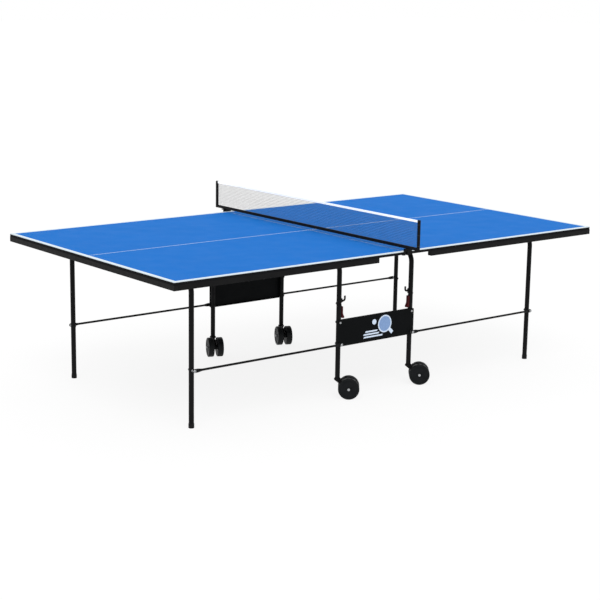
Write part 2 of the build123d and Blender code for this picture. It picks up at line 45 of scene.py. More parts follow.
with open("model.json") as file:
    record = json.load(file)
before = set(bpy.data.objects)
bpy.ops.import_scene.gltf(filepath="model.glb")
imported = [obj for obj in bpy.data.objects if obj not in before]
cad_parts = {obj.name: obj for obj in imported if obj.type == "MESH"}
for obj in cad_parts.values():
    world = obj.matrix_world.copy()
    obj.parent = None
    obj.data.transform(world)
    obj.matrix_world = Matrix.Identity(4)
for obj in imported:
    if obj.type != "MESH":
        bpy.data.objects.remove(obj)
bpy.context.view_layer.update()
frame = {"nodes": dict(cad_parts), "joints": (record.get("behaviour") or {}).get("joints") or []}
joints = {joint["name"]: joint for joint in frame["joints"]}


# ---------------------------------------------------------------- camera, light and floor

CAMERA_PLACE = (-4.860, -6.016, 2.046)
CAMERA_YAW = radians(51.39)
CAMERA_PITCH = radians(-12.18)
CAMERA_ROLL = radians(0.90)
CAMERA_LENS = 88.09
SENSOR_WIDTH = 36.0
FLOOR_REACH = 60.0
FLOOR_GLOW = 0.86
WORLD_STRENGTH = 1.0
KEY_DIRECTION = (0.45, 0.6, -1.0)
KEY_SOFTNESS = 40
KEY_STRENGTH = 1.2


def add_camera():
    forward = Vector((cos(CAMERA_PITCH) * cos(CAMERA_YAW),
                      cos(CAMERA_PITCH) * sin(CAMERA_YAW), sin(CAMERA_PITCH)))
    level = Vector((sin(CAMERA_YAW), -cos(CAMERA_YAW), 0))
    upright = level.cross(forward)
    right = level * cos(CAMERA_ROLL) + upright * sin(CAMERA_ROLL)
    up = upright * cos(CAMERA_ROLL) - level * sin(CAMERA_ROLL)
    data = bpy.data.cameras.new("camera")
    data.sensor_width = SENSOR_WIDTH
    data.lens = CAMERA_LENS
    camera = bpy.data.objects.new("camera", data)
    turn = Matrix((right, up, -forward)).transposed().to_4x4()
    camera.matrix_world = Matrix.Translation(CAMERA_PLACE) @ turn
    bpy.context.scene.collection.objects.link(camera)
    bpy.context.scene.camera = camera


def add_sun(name, toward, softness, strength):
    """A broad even light that shines along toward; softness is its angle in degrees."""
    data = bpy.data.lights.new(name, "SUN")
    data.angle = radians(softness)
    data.energy = strength
    light = bpy.data.objects.new(name, data)
    light.matrix_world = Vector(toward).to_track_quat("-Z", "Y").to_matrix().to_4x4()
    bpy.context.scene.collection.objects.link(light)


def add_world(strength):
    world = bpy.data.worlds.new("studio")
    world.use_nodes = True
    background = world.node_tree.nodes["Background"]
    background.inputs["Color"].default_value = (1.0, 1.0, 1.0, 1.0)
    background.inputs["Strength"].default_value = strength
    bpy.context.scene.world = world
    bpy.context.scene.view_settings.view_transform = "Standard"


# ---------------------------------------------------------------- procedural finishes


LACQUER_TOOTH = 0.02 * MM
EDGE_WEAR_RADIUS = 1.2 * MM
POWDER_PEEL = 0.05 * MM
MOULD_GRAIN = 0.03 * MM
SCUFF_DEPTH = 0.04 * MM
ZINC_GRAIN = 0.01 * MM
TWINE_TWIST = 0.10 * MM
WEAVE_DEPTH = 0.12 * MM


class Finish:
    """A Principled material, and short calls that add nodes to it."""

    def __init__(self, name, colour, roughness, metallic=0.0, gloss=0.5):
        self.material = bpy.data.materials.new(name)
        self.material.use_nodes = True
        self.tree = self.material.node_tree
        self.shader = self.tree.nodes["Principled BSDF"]
        self.normal = None
        self.put("Base Color", (*colour, 1.0))
        self.put("Roughness", roughness)
        self.put("Metallic", metallic)
        self.put("Specular IOR Level", gloss)
        self.place = self.node("ShaderNodeTexCoord").outputs["Object"]

    def put(self, name, value):
        """Gives one of the shader's sockets a constant or another node's output."""
        self.feed(self.shader.inputs[name], value)

    def feed(self, socket, value):
        if isinstance(value, bpy.types.NodeSocket):
            self.tree.links.new(value, socket)
        else:
            socket.default_value = value

    def node(self, kind, inputs=None, **settings):
        made = self.tree.nodes.new(kind)
        for name, value in settings.items():
            setattr(made, name, value)
        for name, value in (inputs or {}).items():
            self.feed(made.inputs[name], value)
        return made

    def stretched(self, stretch, place=None):
        mapping = self.node("ShaderNodeMapping", {"Vector": place or self.place, "Scale": stretch})
        return mapping.outputs["Vector"]

    def grain(self, scale, detail=2.0, stretch=None):
        place = self.stretched(stretch) if stretch else self.place
        made = self.node("ShaderNodeTexNoise", {"Vector": place, "Scale": scale, "Detail": detail})
        return made.outputs["Fac"]

    def cells(self, scale, place=None):
        made = self.node("ShaderNodeTexVoronoi", {"Vector": place or self.place, "Scale": scale})
        return made.outputs["Distance"]

    def waves(self, scale, direction, distortion=0.0):
        made = self.node("ShaderNodeTexWave", {"Vector": self.place, "Scale": scale,
                                               "Distortion": distortion, "Detail": 1.0},
                         bands_direction=direction)
        return made.outputs["Fac"]

    def span(self, value, low, high, first=0.0, last=1.0):
        made = self.node("ShaderNodeMapRange", {"Value": value, "From Min": low, "From Max": high,
                                                "To Min": first, "To Max": last})
        return made.outputs["Result"]

    def maths(self, operation, first, second=0.0):
        made = self.node("ShaderNodeMath", operation=operation)
        self.feed(made.inputs[0], first)
        self.feed(made.inputs[1], second)
        return made.outputs["Value"]

    def blend(self, factor, first, second):
        colours = [value if isinstance(value, bpy.types.NodeSocket) else (*value, 1.0)
                   for value in (first, second)]
        made = self.node("ShaderNodeMixRGB", {"Fac": factor, "Color1": colours[0], "Color2": colours[1]})
        return made.outputs["Color"]

    def height(self):
        """The height above the floor at rest."""
        return self.node("ShaderNodeSeparateXYZ", {"Vector": self.place}).outputs["Z"]

    def bump(self, value, depth, strength=1.0):
        """Raises the surface by up to depth metres where value is high."""
        inputs = {"Height": value, "Distance": depth, "Strength": strength}
        if self.normal:
            inputs["Normal"] = self.normal
        self.normal = self.node("ShaderNodeBump", inputs).outputs["Normal"]
        self.put("Normal", self.normal)

    def worn_edges(self, radius, threshold):
        """1 where an edge is sharp and the paint has rubbed thin, and 0 elsewhere."""
        rounded = self.node("ShaderNodeBevel", {"Radius": radius}, samples=4).outputs["Normal"]
        flat = self.node("ShaderNodeNewGeometry").outputs["Normal"]
        product = self.node("ShaderNodeVectorMath", {0: rounded, 1: flat}, operation="DOT_PRODUCT")
        edge = self.span(product.outputs["Value"], 0.97, 0.80)
        rub = self.span(self.grain(60.0, 4.0), threshold, threshold + 0.12)
        return self.maths("MULTIPLY", edge, rub)


def board_finish(board_low, board_high):
    """Satin blue lacquer; the edge is white over black and the underside dark and fibrous."""
    white_edge = 3 * MM
    skin = 0.2 * MM
    finish = Finish("board_lacquer", (0.008, 0.142, 0.50), 0.6, gloss=0.02)
    height = finish.height()
    mottle = finish.span(finish.grain(2.5, 4.0), 0.3, 0.7)
    blue = finish.blend(mottle, (0.0075, 0.140, 0.494), (0.0085, 0.145, 0.508))
    fibre = finish.span(finish.grain(55.0, 5.0, (1.0, 0.15, 1.0)), 0.35, 0.65)
    under = finish.blend(fibre, (0.016, 0.016, 0.017), (0.028, 0.027, 0.026))
    is_above = finish.maths("GREATER_THAN", height, board_low.z + skin)
    is_white = finish.maths("GREATER_THAN", height, board_high.z - white_edge)
    is_top = finish.maths("GREATER_THAN", height, board_high.z - skin)
    colour = finish.blend(is_above, under, (0.007, 0.007, 0.008))
    colour = finish.blend(is_white, colour, (0.60, 0.66, 0.70))
    finish.put("Base Color", finish.blend(is_top, colour, blue))
    finish.put("Roughness", finish.span(finish.grain(9.0, 5.0), 0.3, 0.7, 0.55, 0.65))
    finish.bump(finish.grain(1500.0, 2.0), LACQUER_TOOTH, 0.5)
    return finish.material


def line_finish():
    """White line paint, a little uneven and slightly greyed by play."""
    finish = Finish("line_paint", (0.62, 0.70, 0.75), 0.6, gloss=0.02)
    grime = finish.span(finish.grain(40.0, 6.0), 0.55, 0.8)
    finish.put("Base Color", finish.blend(grime, (0.63, 0.71, 0.76), (0.54, 0.62, 0.68)))
    finish.put("Roughness", finish.span(finish.grain(80.0, 3.0), 0.3, 0.7, 0.52, 0.64))
    finish.bump(finish.grain(1200.0, 2.0), LACQUER_TOOTH, 0.5)
    return finish.material


def powder_coat(name, dark, light, gloss, worn=(0.05, 0.05, 0.052), threshold=0.60):
    """Satin powder coat with an orange-peel skin, rubbed thin here and there on its edges."""
    finish = Finish(name, dark, 0.5, gloss=gloss)
    tone = finish.blend(finish.span(finish.grain(14.0, 5.0), 0.3, 0.7), dark, light)
    edge = finish.worn_edges(EDGE_WEAR_RADIUS, threshold)
    finish.put("Base Color", finish.blend(edge, tone, worn))
    finish.put("Roughness", finish.span(finish.grain(30.0, 4.0), 0.3, 0.7, 0.42, 0.56))
    finish.bump(finish.grain(700.0, 2.0), POWDER_PEEL, 0.5)
    return finish.material


def moulded_plastic(name, dark, light, roughness=0.5, gloss=0.1):
    """Injection-moulded plastic with a fine spark-eroded grain."""
    finish = Finish(name, dark, roughness, gloss=gloss)
    tone = finish.span(finish.grain(25.0, 4.0), 0.3, 0.7)
    finish.put("Base Color", finish.blend(tone, dark, light))
    finish.put("Roughness", finish.span(finish.grain(120.0, 3.0), 0.3, 0.7, roughness - 0.06,
                                        roughness + 0.08))
    finish.bump(finish.cells(1600.0), MOULD_GRAIN, 0.6)
    return finish.material


def wheel_finish():
    """Hard near-black wheel plastic; the tread is scuffed and a little dusty."""
    finish = Finish("wheel_plastic_moulded", (0.005, 0.006, 0.007), 0.5, gloss=0.1)
    flat = finish.stretched((1.0, 1.0, 0.0))
    radius = finish.node("ShaderNodeVectorMath", {0: flat}, operation="LENGTH").outputs["Value"]
    tread_start, tread_end = 50 * MM, 53.5 * MM
    on_tread = finish.span(radius, tread_start, tread_end)
    scuff = finish.span(finish.grain(90.0, 6.0, (1.0, 1.0, 0.3)), 0.42, 0.62)
    dust = finish.maths("MULTIPLY", on_tread, scuff)
    tone = finish.blend(finish.span(finish.grain(30.0, 3.0), 0.3, 0.7), (0.004, 0.005, 0.006),
                        (0.007, 0.008, 0.009))
    finish.put("Base Color", finish.blend(dust, tone, (0.010, 0.0105, 0.0105)))
    finish.put("Roughness", finish.span(dust, 0.0, 1.0, 0.42, 0.75))
    finish.bump(finish.cells(1300.0), MOULD_GRAIN, 0.5)
    finish.bump(scuff, SCUFF_DEPTH, 0.4)
    return finish.material


def zinc_finish():
    """Zinc plating: a faint crystal spangle over fine turning marks."""
    finish = Finish("zinc_plating", (0.48, 0.49, 0.50), 0.4, metallic=1.0)
    crystal = finish.span(finish.cells(700.0), 0.1, 0.6)
    finish.put("Base Color", finish.blend(crystal, (0.52, 0.53, 0.54), (0.38, 0.39, 0.40)))
    finish.put("Roughness", finish.span(finish.grain(400.0, 4.0), 0.3, 0.7, 0.34, 0.50))
    finish.bump(finish.grain(900.0, 3.0, (1.0, 1.0, 0.1)), ZINC_GRAIN, 0.6)
    return finish.material


def thread_finish():
    """Black twisted nylon twine."""
    finish = Finish("nylon_twine", (0.03, 0.03, 0.032), 0.6, gloss=0.2)
    fibre = finish.span(finish.grain(1500.0, 2.0), 0.35, 0.65)
    finish.put("Base Color", finish.blend(fibre, (0.025, 0.025, 0.027), (0.045, 0.045, 0.047)))
    finish.put("Roughness", finish.span(finish.grain(200.0, 2.0), 0.3, 0.7, 0.55, 0.75))
    finish.bump(finish.waves(260.0, "DIAGONAL", 1.0), TWINE_TWIST, 0.6)
    finish.put("Sheen Weight", 0.2)
    return finish.material


def tape_finish():
    """White cotton tape in a plain weave, slightly soiled; a faint white emission paints extra light onto
    it, a painted glow.
    """
    finish = Finish("woven_tape", (0.82, 0.83, 0.85), 0.85, gloss=0.2)
    along = finish.waves(1250.0, "Y", 0.4)
    across = finish.waves(1250.0, "Z", 0.4)
    weave = finish.maths("MAXIMUM", along, across)
    tone = finish.blend(finish.span(weave, 0.2, 0.9), (0.72, 0.74, 0.77), (0.88, 0.89, 0.91))
    soil = finish.span(finish.grain(12.0, 5.0), 0.55, 0.75, 0.0, 0.35)
    finish.put("Base Color", finish.blend(soil, tone, (0.62, 0.63, 0.64)))
    finish.put("Roughness", finish.span(weave, 0.0, 1.0, 0.95, 0.8))
    finish.bump(weave, WEAVE_DEPTH, 0.8)
    finish.put("Sheen Weight", 0.3)
    # Painted light: a faint white emission makes the tape glow brighter than its lighting gives.
    finish.put("Emission Color", (1.0, 1.0, 1.0, 1.0))
    finish.put("Emission Strength", 0.3)
    return finish.material


def print_finish(name, colour, shade):
    """Screen print on the panel, with a slight tooth and thin spots."""
    finish = Finish(name, colour, 0.45, gloss=0.3)
    thin = finish.span(finish.grain(260.0, 5.0), 0.5, 0.8)
    finish.put("Base Color", finish.blend(thin, colour, shade))
    finish.put("Roughness", finish.span(finish.grain(150.0, 3.0), 0.3, 0.7, 0.38, 0.54))
    finish.bump(finish.grain(1100.0, 2.0), LACQUER_TOOTH, 0.5)
    return finish.material


def floor_finish():
    """White studio floor, lit from below so that shadows stay faint, with a barely seen mottle."""
    finish = Finish("studio_floor", (0.12, 0.12, 0.12), 0.8, gloss=0.0)
    mottle = finish.span(finish.grain(0.8, 4.0), 0.3, 0.7)
    finish.put("Base Color", finish.blend(mottle, (0.120, 0.120, 0.120), (0.125, 0.125, 0.125)))
    finish.put("Emission Color", (1.0, 1.0, 1.0, 1.0))
    finish.put("Emission Strength", FLOOR_GLOW)
    finish.put("Roughness", finish.span(finish.grain(60.0, 3.0), 0.3, 0.7, 0.75, 0.9))
    return finish.material


# ---------------------------------------------------------------- mesh building


def hexagon(angle):
    """How far out a hexagon's side is, as a share of its corners' radius."""
    return cos(pi / 6) / cos(angle % (pi / 3) - pi / 6)


def cross(angle):
    """The same for a cross recess."""
    tolerance, waist = 0.01, 0.35
    from_arm = angle % (pi / 2)
    return 1.0 if from_arm < tolerance or from_arm > pi / 2 - tolerance else waist


def plain(_):
    return 1.0


class Shape:
    """Points and faces that become one piece."""

    def __init__(self):
        self.points = []
        self.faces = []

    def add(self, points, faces):
        start = len(self.points)
        self.points.extend(Vector(point) for point in points)
        self.faces.extend([start + index for index in face] for face in faces)

    def rings(self, rings, is_loop=False):
        """Joins rings of equal length; the ends are capped unless the last ring meets the first."""
        size = len(rings[0])
        pairs = len(rings) if is_loop else len(rings) - 1
        faces = []
        for ring in range(pairs):
            here = ring * size
            there = (ring + 1) % len(rings) * size
            for step in range(size):
                following = (step + 1) % size
                faces.append((here + step, here + following, there + following, there + step))
        if not is_loop:
            faces.append(tuple(reversed(range(size))))
            faces.append(tuple(range((len(rings) - 1) * size, len(rings) * size)))
        self.add([point for ring in rings for point in ring], faces)

    def tube(self, centres, radii, sides=8, across=(0, 0, 1), is_loop=False):
        """A round rod through the centres; across is a direction that it never runs along."""
        centres = [Vector(centre) for centre in centres]
        count = len(centres)
        radii = radii if isinstance(radii, list) else [radii] * count
        rings = []
        for index, centre in enumerate(centres):
            before = centres[index - 1] if index or is_loop else centre
            after = centres[(index + 1) % count] if index < count - 1 or is_loop else centre
            side = (after - before).cross(Vector(across)).normalized()
            up = side.cross(after - before).normalized()
            rings.append([centre + radii[index] * (side * cos(2 * pi * k / sides)
                                                   + up * sin(2 * pi * k / sides))
                          for k in range(sides)])
        self.rings(rings, is_loop)

    def lathe(self, profile, place=Matrix(), steps=24):
        """Turns a closed loop of (radius, height, form) about the local Z axis."""
        rings = []
        for radius, height, form in profile:
            angles = [2 * pi * step / steps for step in range(steps)]
            rings.append([place @ Vector((radius * form(a) * cos(a), radius * form(a) * sin(a), height))
                          for a in angles])
        self.rings(rings, is_loop=True)

    def slab(self, outline, low, high, place=Matrix()):
        """An outline of (x, y) made solid between two heights."""
        self.rings([[place @ Vector((x, y, height)) for x, y in outline] for height in (low, high)])

    def piece(self, name, material, body, slot, smooth=35, place=None):
        """Closes the mesh into one object that rides on a body."""
        mesh = bpy.data.meshes.new(name)
        mesh.from_pydata(self.points, [], self.faces)
        work = bmesh.new()
        work.from_mesh(mesh)
        bmesh.ops.remove_doubles(work, verts=work.verts, dist=MERGE_DISTANCE)
        bmesh.ops.dissolve_degenerate(work, edges=work.edges, dist=MERGE_DISTANCE)
        bmesh.ops.recalc_face_normals(work, faces=work.faces)
        work.to_mesh(mesh)
        work.free()
        mesh.shade_smooth()
        mesh.set_sharp_from_angle(angle=radians(smooth))
        mesh.materials.append(material)
        made = bpy.data.objects.new(name, mesh)
        if place:
            made.matrix_world = place
        bpy.context.scene.collection.objects.link(made)
        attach(made, body)
        return made


def facing(place, direction):
    """A matrix whose local Z looks along direction from place."""
    turn = Vector(direction).to_track_quat("Z", "X").to_matrix().to_4x4()
    return Matrix.Translation(place) @ turn


def arc(centre, radius, start, end, steps=6):
    """Points of an arc, in degrees."""
    angles = [radians(start + (end - start) * step / steps) for step in range(steps + 1)]
    return [(centre[0] + radius * cos(a), centre[1] + radius * sin(a)) for a in angles]


# ---------------------------------------------------------------- playing lines

LINE_WIDTH = 20 * MM
CENTRE_LINE_WIDTH = 4 * MM
PAINT_THICKNESS = 0.12 * MM
BOARD_CORNER = 4 * MM


def playing_lines(side, material):
    """Border along the sides and the end of one half, and the line along its middle."""
    low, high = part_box(f"tabletop_{side}")
    x_sign = SIDES[side]
    net_x, end_x = sorted((low.x, high.x), key=abs)
    net_x, end_x, half_width = abs(net_x), abs(end_x), high.y
    corner = BOARD_CORNER
    border = arc((net_x + corner, -half_width + corner), corner, 180, 270)
    border += arc((end_x - corner, -half_width + corner), corner, 270, 360)
    border += arc((end_x - corner, half_width - corner), corner, 0, 90)
    border += arc((net_x + corner, half_width - corner), corner, 90, 180)
    inner_x, inner_y = end_x - LINE_WIDTH, half_width - LINE_WIDTH
    border += [(net_x, inner_y), (inner_x, inner_y), (inner_x, -inner_y), (net_x, -inner_y)]
    half_line = CENTRE_LINE_WIDTH / 2
    middle = [(net_x, -half_line), (inner_x, -half_line), (inner_x, half_line), (net_x, half_line)]
    shape = Shape()
    for outline in (border, middle):
        turned = [(x_sign * x, y) for x, y in outline]
        shape.slab(turned, high.z - PAINT_THICKNESS, high.z + PAINT_THICKNESS)
    shape.piece(f"playing_lines_{side}", material, f"half_{side}", "board")


# ---------------------------------------------------------------- net

NET_GRID = 8 * MM
TWINE_RADIUS = 0.5 * MM
NET_DRIFT = 0.6 * MM
NET_DRIFT_SCALE = 7
NET_TUCK = 6 * MM
TWINE_WEAVE = 0.25 * MM
TAPE_CLOTH = 0.5 * MM
TAPE_HALF_THICKNESS = 1.25 * MM
TAPE_FLAT_HEIGHT = 7 * MM
TAPE_RING_PITCH = 12 * MM
TAPE_SWAY = 0.25 * MM
NET_CORD_RADIUS = 1.2 * MM
CORD_RING_PITCH = 200 * MM
STITCH_PITCH = 5 * MM
STITCH_HALF_LENGTH = 1.6 * MM
STITCH_RADII = (0.15 * MM, 0.28 * MM, 0.15 * MM)
STITCH_BASE = 0.05 * MM
STITCH_ARCH = 0.12 * MM
SEAM_HEIGHT = 3 * MM
TIE_RADIUS = 0.7 * MM
TIE_CLEARANCE = 0.5 * MM
TIE_SHARES = (0.08, 0.5, 0.92)


def spaced(low, high, pitch):
    """Evenly spaced values from low to high, about a pitch apart."""
    count = max(1, round((high - low) / pitch))
    return [low + (high - low) * step / count for step in range(count + 1)]


def net_mesh(material):
    """Knotted square mesh, stretched between the posts, the bar and the tape."""
    low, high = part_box("net_mesh")
    columns = spaced(low.y + 2 * TWINE_RADIUS, high.y - 2 * TWINE_RADIUS, NET_GRID)
    rows = spaced(low.z + TWINE_RADIUS, high.z + NET_TUCK, NET_GRID)
    shape = Shape()

    def knot(column, row):
        """The crossing of a column and a row, a little off its true place."""
        y, z = columns[column], rows[row]
        drift = noise.noise_vector((y * NET_DRIFT_SCALE, z * NET_DRIFT_SCALE, 0)) * NET_DRIFT
        is_held = row in (0, len(rows) - 1) or column in (0, len(columns) - 1)
        return Vector((0, y, z)) + (Vector() if is_held else Vector((0, drift.y, drift.z)))

    for column in range(len(columns)):
        path = [knot(column, row) + Vector((TWINE_WEAVE * (-1) ** (column + row), 0, 0))
                for row in range(len(rows))]
        shape.tube(path, TWINE_RADIUS, 5, (1, 0, 0))
    for row in range(len(rows) - 1):
        path = [knot(column, row) - Vector((TWINE_WEAVE * (-1) ** (column + row), 0, 0))
                for column in range(len(columns))]
        shape.tube(path, TWINE_RADIUS, 5, (1, 0, 0))
    made = shape.piece("net_twine", material, "net", "net_mesh", 60)
    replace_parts(made, "net_mesh")


def net_tape(cloth, thread, cord):
    """White tape folded over the net's top and its cord, closed by a row of stitches."""
    low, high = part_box("net_tape")
    loop = (high.x - low.x) / 2
    flap = TAPE_HALF_THICKNESS
    flat_top = low.z + TAPE_FLAT_HEIGHT
    loop_centre = high.z - loop
    outer = [(-flap, low.z), (-flap, flat_top)]
    outer += arc((0, loop_centre), loop, 200, -20, 14)
    outer += [(flap, flat_top), (flap, low.z)]
    inner = [(x * (1 - TAPE_CLOTH / abs(x)) if abs(x) > TAPE_CLOTH else x, z) for x, z in outer]
    inner = [(x, min(z, high.z - TAPE_CLOTH)) for x, z in inner]
    section = outer + list(reversed(inner))
    shape = Shape()
    rings = []
    for y in spaced(low.y, high.y, TAPE_RING_PITCH):
        sway = noise.noise((0, y * 4, 2.0)) * TAPE_SWAY
        rings.append([Vector((x + sway, y, z)) for x, z in section])
    shape.rings(rings)
    made = shape.piece("net_top_tape", cloth, "net", "net_tape", 50)
    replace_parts(made, "net_tape")

    stitches = Shape()
    seam_z = low.z + SEAM_HEIGHT
    for y in spaced(low.y + STITCH_PITCH, high.y - STITCH_PITCH, STITCH_PITCH):
        for x_sign in (-1, 1):
            x = x_sign * (flap + STITCH_BASE)
            ends = [(x, y - STITCH_HALF_LENGTH, seam_z), (x + x_sign * STITCH_ARCH, y, seam_z),
                    (x, y + STITCH_HALF_LENGTH, seam_z)]
            stitches.tube(ends, list(STITCH_RADII), 5)
    seam = stitches.piece("net_tape_stitches", thread, "net", "net_tape", 60)

    rope = Shape()
    rope.tube([(0, y, loop_centre) for y in spaced(low.y, high.y, CORD_RING_PITCH)],
              NET_CORD_RADIUS)
    line = rope.piece("net_top_cord", cord, "net", "net_mesh", 60)


def net_ties(material):
    """Cord loops that hold the net's ends to its posts."""
    shape = Shape()
    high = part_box("net_posts")[1]
    mesh_low, mesh_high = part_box("net_mesh")
    post_radius = high.x
    tie_radius = post_radius + TIE_CLEARANCE
    for y_sign in ENDS.values():
        centre_y = y_sign * (high.y - post_radius)
        for share in TIE_SHARES:
            z = mesh_low.z + share * (mesh_high.z - mesh_low.z)
            loop = [(tie_radius * cos(a), centre_y + tie_radius * sin(a), z)
                    for a in (2 * pi * k / 24 for k in range(24))]
            shape.tube(loop, TIE_RADIUS, 6, (0, 0, 1), is_loop=True)
    shape.piece("net_post_ties", material, "net", "net_mesh", 60)


# ---------------------------------------------------------------- bolts and screws

NUT_CORNER_RADIUS = 7.5 * MM
NUT_HEIGHT = 5 * MM
ROD_RADIUS = 5.5 * MM
ROD_EYE_HALF = 2 * MM
ROD_BOLT_HEAD = (7.5 * MM, 5 * MM)
SMALL_HEAD = (6 * MM, 3 * MM)
ROD_SHANK_RADIUS = 4 * MM
LATCH_SHANK_RADIUS = 4 * MM
PANEL_SHANK_RADIUS = 3 * MM
SHANK_OVERLAP = 0.5 * MM
SOCKET_SHARE = 0.42
SOCKET_CHAMFER = 0.3 * MM
SOCKET_CONE = 0.4 * MM
NUT_CHAMFER = 0.7 * MM
SLEEVE_CHAMFER = 0.3 * MM
FACE_GAP = 0.3 * MM


def bolt_head(radius, height, socket):
    """Button head with a hexagon socket, as a lathe loop that starts at its bearing face."""
    depth = 0.55 * height
    return [(0, 0, plain), (radius * 0.97, 0, plain), (radius, 0.12 * height, plain),
            (radius, 0.45 * height, plain), (radius * 0.9, 0.75 * height, plain),
            (radius * 0.7, 0.94 * height, plain), (radius * 0.5, height, plain),
            (socket * 1.08, height, hexagon), (socket, height - SOCKET_CHAMFER, hexagon),
            (socket, height - depth, hexagon), (0, height - depth - SOCKET_CONE, plain)]


def nut(corner_radius, height):
    flat_radius = corner_radius - NUT_CHAMFER
    return [(0, 0, plain), (flat_radius, 0, plain), (corner_radius, NUT_CHAMFER, hexagon),
            (corner_radius, height - NUT_CHAMFER, hexagon), (flat_radius, height, plain),
            (0, height, plain)]


def sleeve(radius, start, end):
    """A plain disc or spacer with broken edges."""
    edge = SLEEVE_CHAMFER
    return [(0, start, plain), (radius - edge, start, plain), (radius, start + edge, plain),
            (radius, end - edge, plain), (radius - edge, end, plain), (0, end, plain)]


def add_bolt(shape, nuts, place, head, shank_radius, spacers):
    """Bolt from the nut inside a leg to its head, which is (radius, start, height), along place's Z."""
    leg_low, leg_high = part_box("wheel_frame_left")
    nut_end = leg_high.y - (leg_high.x - leg_low.x)
    radius, start, height = head
    nuts.lathe(nut(NUT_CORNER_RADIUS, NUT_HEIGHT), place @ Matrix.Translation((0, 0, nut_end - NUT_HEIGHT)))
    shape.lathe(sleeve(shank_radius, nut_end - NUT_HEIGHT / 2, start + SHANK_OVERLAP), place)
    for spacer_radius, spacer_start, spacer_end in spacers:
        shape.lathe(sleeve(spacer_radius, spacer_start, spacer_end), place)
    shape.lathe(bolt_head(radius, height, radius * SOCKET_SHARE), place @ Matrix.Translation((0, 0, start)))


def add_rod_bolt(shape, nuts, place, spacer_start):
    """Bolt that carries a tie rod's eye between a spacer and its head."""
    rod_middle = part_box("tie_rods_left")[1].y - ROD_RADIUS
    head_start = rod_middle + ROD_EYE_HALF + FACE_GAP
    spacer_end = rod_middle - ROD_EYE_HALF - FACE_GAP
    head_radius, head_height = ROD_BOLT_HEAD
    add_bolt(shape, nuts, place, (head_radius, head_start, head_height), ROD_SHANK_RADIUS,
             [(head_radius, spacer_start, spacer_end)])


def across(x, y_sign, z):
    """A place at (x, z) whose Z runs outwards along Y, from the table's middle."""
    return facing((x, 0, z), (0, y_sign, 0))


def bolts(zinc, black, plastic):
    """Zinc bolts for rods and panels, black ones for the latches, and plastic caps on the nuts."""
    leg_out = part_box("wheel_frame_left")[1].y
    panel_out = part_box("side_panel_rear")[1].y
    rod_z = joints["rod_swing_left"]["pos_m"][2]
    base_x = joints["rod_swing_right"]["pos_m"][0]
    leg_x = joints["leg_fold_right"]["pos_m"][0]
    panel_bolt_low, panel_bolt_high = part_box("panel_bolts")
    panel_z = (panel_bolt_low.z + panel_bolt_high.z) / 2
    small_radius, small_height = SMALL_HEAD
    latch_head = (small_radius, leg_out, small_height)
    panel_head = (small_radius, panel_out, small_height)
    pivots, panels, latches, base_nuts = Shape(), Shape(), Shape(), Shape()
    for side, end in CORNERS:
        x, y_sign = SIDES[side] * base_x, ENDS[end]
        latch_z = joints[f"latch_{side}_{end}_turn"]["pos_m"][2]
        add_rod_bolt(pivots, base_nuts, across(x, y_sign, rod_z), panel_out)
        add_bolt(latches, base_nuts, across(x, y_sign, latch_z), latch_head, LATCH_SHANK_RADIUS, [])
        add_bolt(panels, base_nuts, across(x, y_sign, panel_z), panel_head, PANEL_SHANK_RADIUS, [])
    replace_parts(pivots.piece("rod_bolt_set", zinc, "base", "zinc_steel"), "pivot_bolts")
    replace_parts(panels.piece("panel_bolt_set", zinc, "base", "zinc_steel"), "panel_bolts")
    latches.piece("latch_bolt_set", black, "base", "frame_paint")
    base_nuts.piece("nut_caps_base", plastic, "base", "black_plastic")
    for side, x_sign in SIDES.items():
        legs, nuts = Shape(), Shape()
        for y_sign in ENDS.values():
            add_rod_bolt(legs, nuts, across(x_sign * leg_x, y_sign, rod_z), leg_out)
        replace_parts(legs.piece(f"leg_bolt_set_{side}", zinc, f"legs_{side}", "zinc_steel"),
                    f"leg_bolts_{side}")
        nuts.piece(f"nut_caps_{side}", plastic, f"legs_{side}", "black_plastic")


SADDLE_SCREW_RADIUS = 4.5 * MM
SCREW_RADIUS = 4 * MM
SCREW_SUNK = 0.3 * MM
SADDLE_HALF_FLANGE = 35 * MM
SADDLE_HALF_WIDTH = 20 * MM
SADDLE_FLANGE = 4 * MM
SADDLE_SCREW_INSET = (8 * MM, 9 * MM)
SIDE_RAIL_HALF = 12.5 * MM
SIDE_RAIL_SCREWS = (60 * MM, 270 * MM)
END_RAIL_SCREWS = (90 * MM, 260 * MM)
STIFFENER_SCREWS = (60 * MM, 260 * MM)
CATCH_SCREW_INSET = (9 * MM, 7 * MM)
CATCH_FLANGE = 3 * MM
STRAP_SCREW_PLACES = (730 * MM, 750 * MM)
STRAP_THICKNESS = 4 * MM


def add_screw(shape, place, direction, radius=SCREW_RADIUS):
    """Pan-head screw with a cross recess; its bearing face is at place."""
    height = 0.55 * radius
    profile = [(0, -SCREW_SUNK, plain), (radius, -SCREW_SUNK, plain), (radius, 0.25 * height, plain),
               (0.85 * radius, 0.75 * height, plain), (0.6 * radius, height, plain),
               (0.55 * radius, height, cross), (0.45 * radius, 0.35 * height, cross),
               (0, 0.3 * height, plain)]
    shape.lathe(profile, facing(place, direction), 32)


